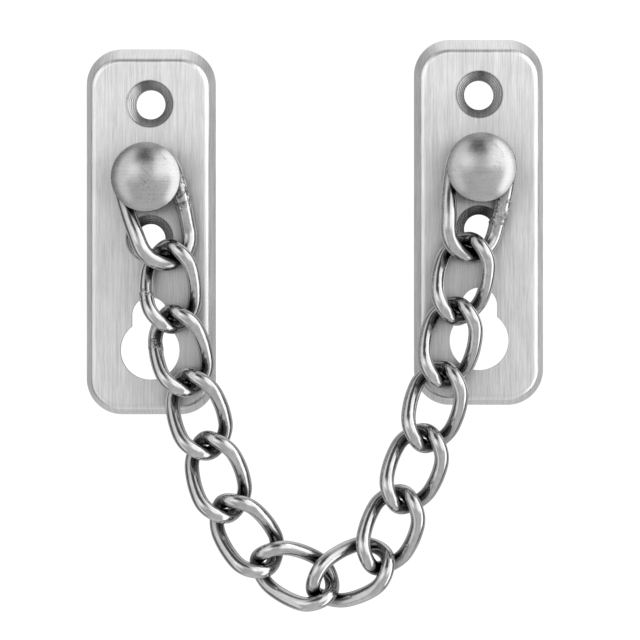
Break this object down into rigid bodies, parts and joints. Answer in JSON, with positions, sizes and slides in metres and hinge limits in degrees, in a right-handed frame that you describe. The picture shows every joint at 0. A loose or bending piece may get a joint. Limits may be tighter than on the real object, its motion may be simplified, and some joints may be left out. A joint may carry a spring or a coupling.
{
  "type": "door chain guard",
  "caption": "Door chain guard: pressed steel mounting plates with keyholes and mushroom studs, joined by a twisted curb chain on end rings.",
  "frame": {"origin": "middle of the left plate's two screw holes, on the plane that the plate lies against", "axes": "+Y up along the plates as they are used, +X from the left plate to the right plate, +Z out of the door towards the user"},
  "size_m": [0.0898, 0.1109, 0.0135],
  "materials": {
    "plate_steel": "satin, fine vertical grain",
    "stud_steel": "satin, light scratches",
    "chain_steel": "tumbled and polished"
  },
  "bodies": {
    "left_mount": {"left_plate": "plate_steel", "left_stud": "stud_steel"},
    "left_ring": {"left_ring": "chain_steel"},
    "link_01": {"link_01": "chain_steel"},
    "link_02": {"link_02": "chain_steel"},
    "link_03": {"link_03": "chain_steel"},
    "link_04": {"link_04": "chain_steel"},
    "link_05": {"link_05": "chain_steel"},
    "link_06": {"link_06": "chain_steel"},
    "link_07": {"link_07": "chain_steel"},
    "link_08": {"link_08": "chain_steel"},
    "link_09": {"link_09": "chain_steel"},
    "link_10": {"link_10": "chain_steel"},
    "link_11": {"link_11": "chain_steel"},
    "link_12": {"link_12": "chain_steel"},
    "right_ring": {"right_ring": "chain_steel"},
    "right_mount": {"right_plate": "plate_steel", "right_stud": "stud_steel"}
  },
  "joints": [
    {"name": "left_ring_swing", "type": "hinge", "parent": "left_mount", "child": "left_ring", "pos_m": [0, -0.00155, 0.0075], "axis": [0, 0, 1], "range_deg": [0, 74.79]},
    {"name": "link_01_bend", "type": "hinge", "parent": "left_ring", "child": "link_01", "pos_m": [0.00415, -0.01623, 0.0075], "axis": [0, 0, 1], "range_deg": [0, 12.7]},
    {"name": "link_02_bend", "type": "hinge", "parent": "link_01", "child": "link_02", "pos_m": [0.00484, -0.02882, 0.0075], "axis": [0, 0, -1], "range_deg": [0, 11.2]},
    {"name": "link_03_bend", "type": "hinge", "parent": "link_02", "child": "link_03", "pos_m": [0.00796, -0.04108, 0.0075], "axis": [0, 0, -1], "range_deg": [-7, 3]},
    {"name": "link_04_bend", "type": "hinge", "parent": "link_03", "child": "link_04", "pos_m": [0.01173, -0.05317, 0.0075], "axis": [0, 0, 1], "range_deg": [-9.7, 0.3]},
    {"name": "link_05_bend", "type": "hinge", "parent": "link_04", "child": "link_05", "pos_m": [0.01543, -0.06527, 0.0075], "axis": [0, 0, -1], "range_deg": [0, 18.3]},
    {"name": "link_06_bend", "type": "hinge", "parent": "link_05", "child": "link_06", "pos_m": [0.02269, -0.07553, 0.0075], "axis": [0, 0, -1], "range_deg": [0, 30.4]},
    {"name": "link_07_bend", "type": "hinge", "parent": "link_06", "child": "link_07", "pos_m": [0.03383, -0.08056, 0.0075], "axis": [0, 0, -1], "range_deg": [0, 50.2]},
    {"name": "link_08_bend", "type": "hinge", "parent": "link_07", "child": "link_08", "pos_m": [0.04469, -0.07528, 0.0075], "axis": [0, 0, -1], "range_deg": [0, 42.9]},
    {"name": "link_09_bend", "type": "hinge", "parent": "link_08", "child": "link_09", "pos_m": [0.04919, -0.06368, 0.0075], "axis": [0, 0, -1], "range_deg": [-9.7, 0.3]},
    {"name": "link_10_bend", "type": "hinge", "parent": "link_09", "child": "link_10", "pos_m": [0.05371, -0.05185, 0.0075], "axis": [0, 0, -1], "range_deg": [-4.7, 5.3]},
    {"name": "link_11_bend", "type": "hinge", "parent": "link_10", "child": "link_11", "pos_m": [0.05711, -0.03966, 0.0075], "axis": [0, 0, -1], "range_deg": [-5.8, 4.2]},
    {"name": "link_12_bend", "type": "hinge", "parent": "link_11", "child": "link_12", "pos_m": [0.05962, -0.02725, 0.0075], "axis": [0, 0, -1], "range_deg": [-9.8, 0.2]},
    {"name": "right_ring_swing", "type": "hinge", "parent": "link_12", "child": "right_ring", "pos_m": [0.06207, -0.01483, 0.0075], "axis": [0, 0, -1], "range_deg": [-7.4, 2.6]},
    {"name": "right_plate_swing", "type": "hinge", "parent": "right_ring", "child": "right_mount", "pos_m": [0.06436, 0.00031, 0.0075], "axis": [0, 0, 1], "range_deg": [0, 80.81]}
  ]
}
